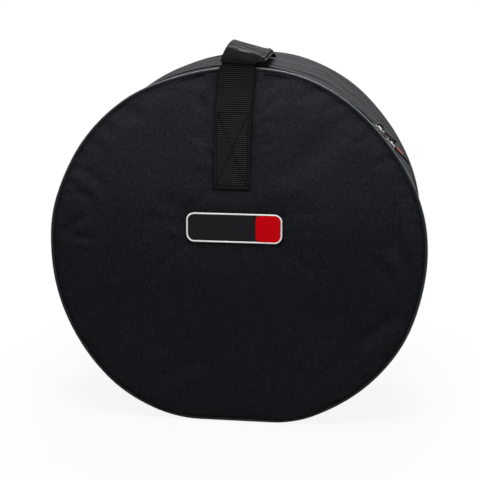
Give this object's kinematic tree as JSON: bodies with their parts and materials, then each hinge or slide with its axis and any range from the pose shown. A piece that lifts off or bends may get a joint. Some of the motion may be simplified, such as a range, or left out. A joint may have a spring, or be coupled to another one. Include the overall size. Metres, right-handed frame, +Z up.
{
  "type": "drum bag",
  "caption": "Round padded bag for a snare drum, standing on its side, with a zipped front lid, webbing straps, a padded grip handle and a blank badge.",
  "frame": {"origin": "on the floor under the middle of the bag, halfway between its two round panels", "axes": "+Z up, -Y out of the lid towards the viewer, +X to the right as seen from the front"},
  "size_m": [0.405, 0.1832, 0.4188],
  "materials": {
    "bag_cloth": "matt black padded nylon cloth",
    "wall_cloth": "charcoal nylon with a soft sheen",
    "piping": "smooth black cloth-covered cord",
    "foam": "grey foam padding",
    "lining": "black woven lining",
    "binding": "black woven seam binding",
    "zip_tape": "matt black zip tape",
    "zip_coil": "black nylon coil",
    "zip_metal": "bright plated zip hardware",
    "pull_rubber": "black moulded pull tag",
    "red_mark": "plain red inlay",
    "webbing": "black woven webbing",
    "leatherette": "black grained leatherette, soft gloss",
    "fastener": "black hook and loop strip",
    "badge_black": "black badge field",
    "badge_white": "white badge edge",
    "badge_red": "red badge field"
  },
  "bodies": {
    "bag": {"side_wall": "wall_cloth", "side_foam": "foam", "side_lining": "lining", "hinge_strip": "wall_cloth", "back_seam_binding": "binding", "back_panel": "bag_cloth", "back_foam": "foam", "back_lining": "lining", "back_piping": "piping", "body_zip_coil": "zip_coil", "body_zip_tape": "zip_tape", "right_zip_end_tab": "webbing", "left_zip_end_tab": "webbing", "rear_strap": "webbing"},
    "lid": {"lid_panel": "bag_cloth", "lid_foam": "foam", "lid_lining": "lining", "lid_piping": "piping", "lid_zip_coil": "zip_coil", "lid_zip_tape": "zip_tape", "lid_seam_binding": "binding", "front_strap": "webbing", "grip_under_leaf": "leatherette", "grip_front_lap": "leatherette", "grip_loop_strip": "fastener", "badge_base": "badge_black", "badge_border": "badge_white", "badge_red_field": "badge_red"},
    "grip_flap": {"grip_flap": "leatherette", "grip_hook_strip": "fastener"},
    "upper_slider": {"upper_slider_body": "zip_metal", "upper_slider_bridge": "zip_metal"},
    "lower_slider": {"lower_slider_body": "zip_metal", "lower_slider_bridge": "zip_metal"},
    "upper_pull": {"upper_pull_ring": "zip_metal", "upper_pull_tag": "pull_rubber", "upper_pull_mark": "red_mark"},
    "lower_pull": {"lower_pull_ring": "zip_metal", "lower_pull_tag": "pull_rubber", "lower_pull_mark": "red_mark"}
  },
  "joints": [
    {"name": "lid_hinge", "type": "hinge", "parent": "bag", "child": "lid", "pos_m": [0, -0.0825, 0.0025], "axis": [1, 0, 0], "range_deg": [0, 90]},
    {"name": "upper_slider_run", "type": "hinge", "parent": "bag", "child": "upper_slider", "pos_m": [0, -0.066, 0.193], "axis": [0, -1, 0], "range_deg": [0, 177]},
    {"name": "lower_slider_run", "type": "hinge", "parent": "bag", "child": "lower_slider", "pos_m": [0, -0.066, 0.193], "axis": [0, 1, 0], "range_deg": [0, 76]},
    {"name": "upper_pull_swing", "type": "hinge", "parent": "upper_slider", "child": "upper_pull", "pos_m": [0.14901, -0.066, 0.331], "axis": [0.38, -0.829, -0.4103], "range_deg": [0, 140]},
    {"name": "lower_pull_swing", "type": "hinge", "parent": "lower_slider", "child": "lower_pull", "pos_m": [0.16135, -0.066, 0.31636], "axis": [0, -1, 0], "range_deg": [0, 140]},
    {"name": "grip_flap_fold", "type": "hinge", "parent": "lid", "child": "grip_flap", "pos_m": [-0.00698, -0.07356, 0.41385], "axis": [0.019, -0.9885, 0.1501], "range_deg": [0, 150]}
  ]
}
